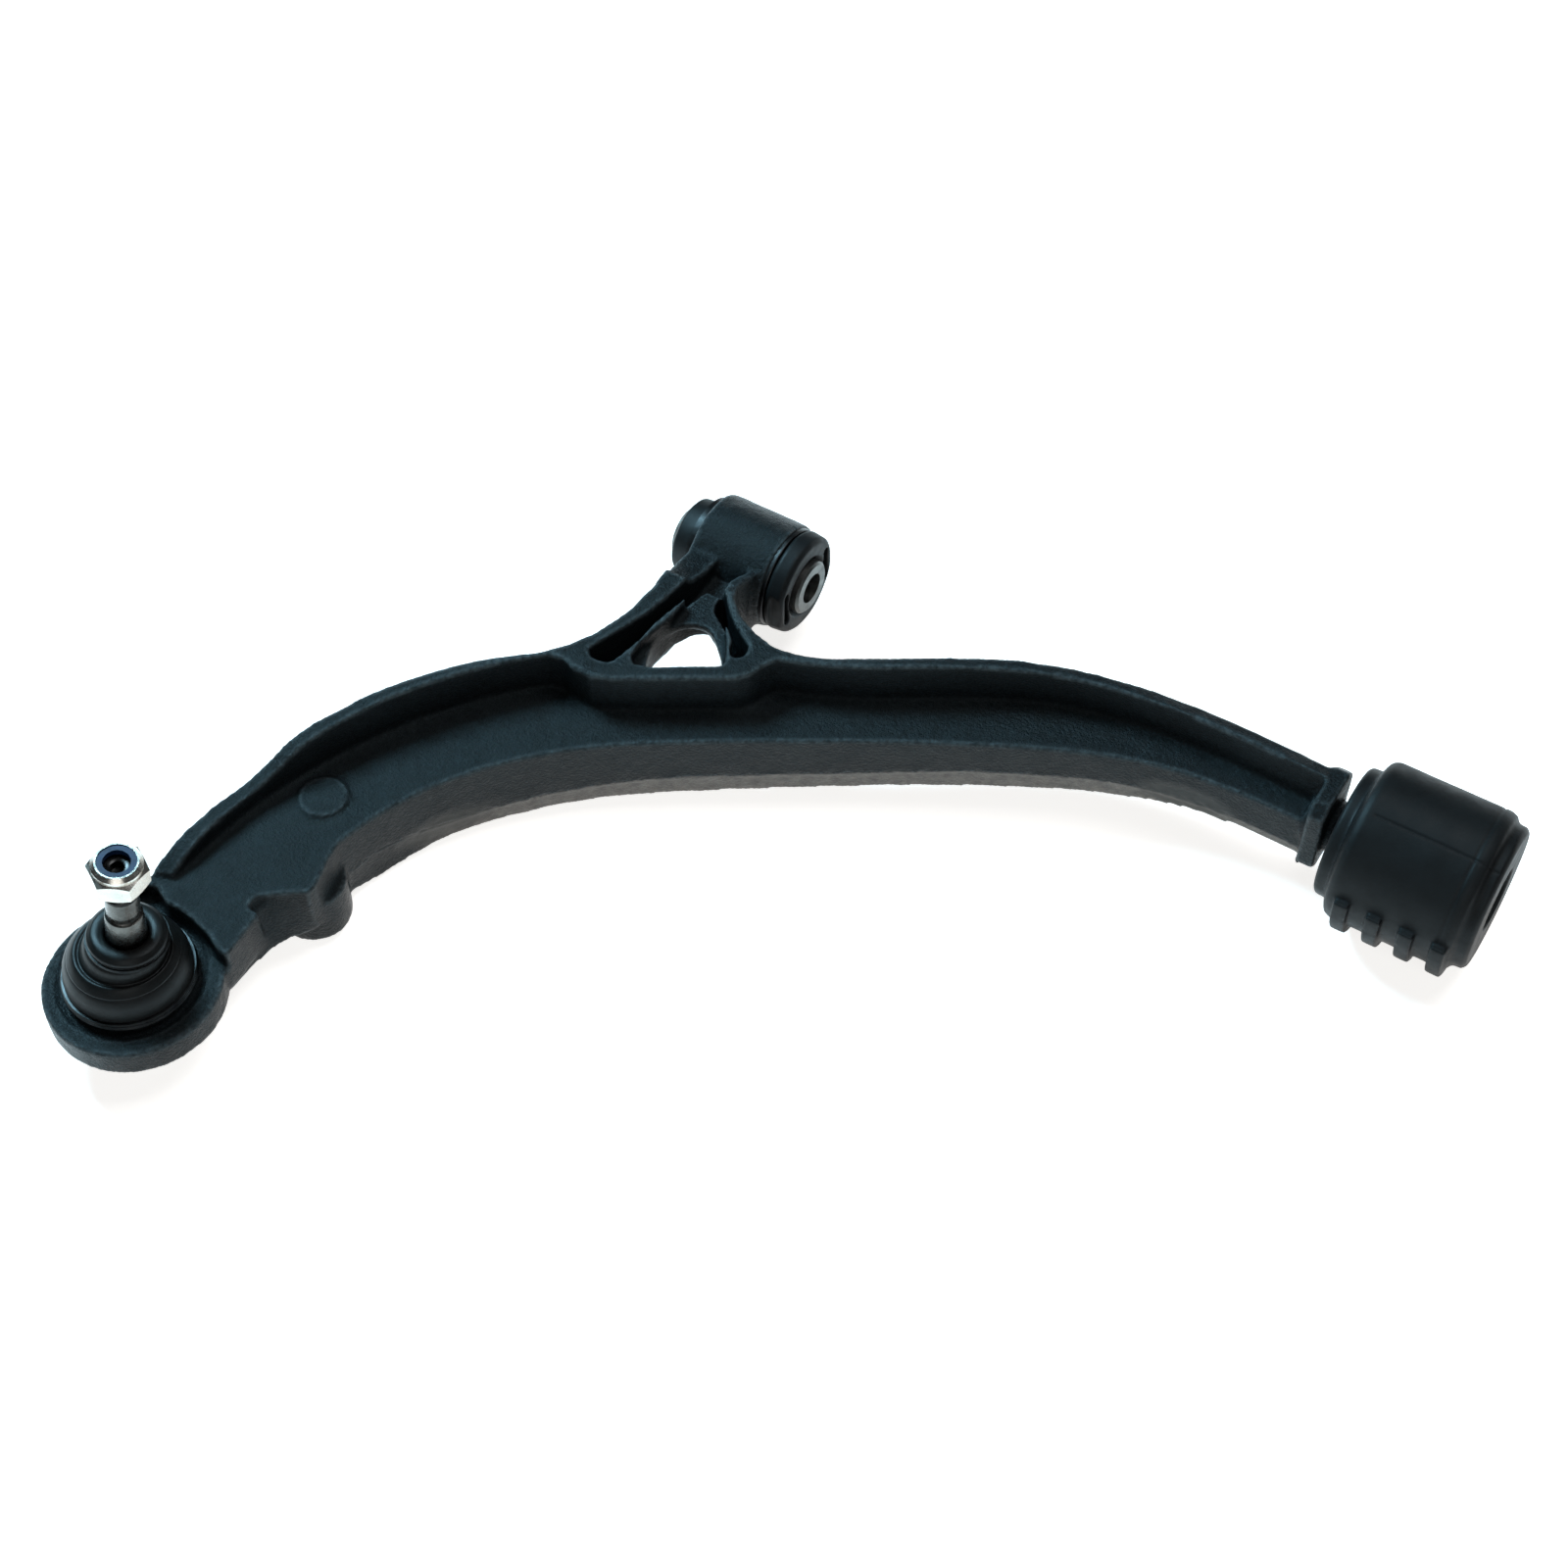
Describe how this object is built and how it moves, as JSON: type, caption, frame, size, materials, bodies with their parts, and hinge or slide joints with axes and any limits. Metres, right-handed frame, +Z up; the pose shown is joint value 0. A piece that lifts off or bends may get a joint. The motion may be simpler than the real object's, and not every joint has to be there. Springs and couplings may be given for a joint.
{
  "type": "suspension control arm",
  "caption": "Curved cast lower control arm with a bonded front bush, a barrel-shaped rubber rear bush on a spindle, and a booted ball joint whose tapered stud carries a nylon lock nut.",
  "frame": {"origin": "centre of the front bush bore, on the arm's pivot axis", "axes": "+X along the pivot axis from the front bush to the rear bush, +Z up, on the ball stud's side of the arm; the ball joint lies towards -Y"},
  "size_m": [0.4402, 0.3537, 0.1035],
  "materials": {
    "cast_arm": "black electro-coated casting, semi-gloss",
    "coated_sleeve": "black coated steel tube",
    "bush_rubber": "matte black rubber",
    "sleeve_steel": "dull machined steel",
    "liner_steel": "dull phosphated steel",
    "housing_steel": "dark phosphated steel",
    "polymer": "natural acetal",
    "stud_steel": "machined steel, bright shank",
    "zinc": "bright zinc plate",
    "nylon": "blue nylon",
    "boot_rubber": "satin black rubber",
    "ring_steel": "dark spring steel"
  },
  "bodies": {
    "arm": {"arm_casting": "cast_arm", "front_bush_outer_sleeve": "coated_sleeve", "front_bush_rubber": "bush_rubber", "ball_joint_housing": "housing_steel", "bearing_seat": "polymer", "preload_spring": "liner_steel", "cover_plate": "housing_steel", "dust_boot": "boot_rubber", "boot_lower_ring": "ring_steel"},
    "front_pivot": {"front_bush_inner_sleeve": "sleeve_steel"},
    "rear_bush": {"rear_bush_rubber": "bush_rubber", "rear_bush_inner_sleeve": "liner_steel"},
    "socket_liner": {"ball_liner": "polymer"},
    "boot_collar": {"boot_upper_ring": "ring_steel"},
    "stud": {"ball_stud": "stud_steel"},
    "nut": {"lock_nut": "zinc", "nylon_insert": "nylon"}
  },
  "joints": [
    {"name": "front_bush_twist", "type": "hinge", "parent": "arm", "child": "front_pivot", "pos_m": [0, 0, 0], "axis": [1, 0, 0], "range_deg": [-20, 20], "stiffness_Nm_per_rad": 20},
    {"name": "rear_bush_twist", "type": "hinge", "parent": "arm", "child": "rear_bush", "pos_m": [0.295, 0, 0], "axis": [1, 0, 0], "range_deg": [-20, 20], "stiffness_Nm_per_rad": 60},
    {"name": "stud_swing_x", "type": "hinge", "parent": "arm", "child": "socket_liner", "pos_m": [-0.0825, -0.2882, -0.008], "axis": [1, 0, 0], "range_deg": [-18, 22], "deforming": ["dust_boot"]},
    {"name": "stud_swing_y", "type": "hinge", "parent": "socket_liner", "child": "boot_collar", "pos_m": [-0.0825, -0.2882, -0.008], "axis": [0, 1, 0], "range_deg": [-24, 16], "deforming": ["dust_boot"]},
    {"name": "stud_spin", "type": "hinge", "parent": "boot_collar", "child": "stud", "pos_m": [-0.0825, -0.2882, -0.008], "axis": [0.1057, 0.0607, 0.9925], "continuous": true},
    {"name": "nut_removal", "type": "slide", "parent": "stud", "child": "nut", "axis": [0.1057, 0.0607, 0.9925], "range_m": [0, 0.03]}
  ]
}
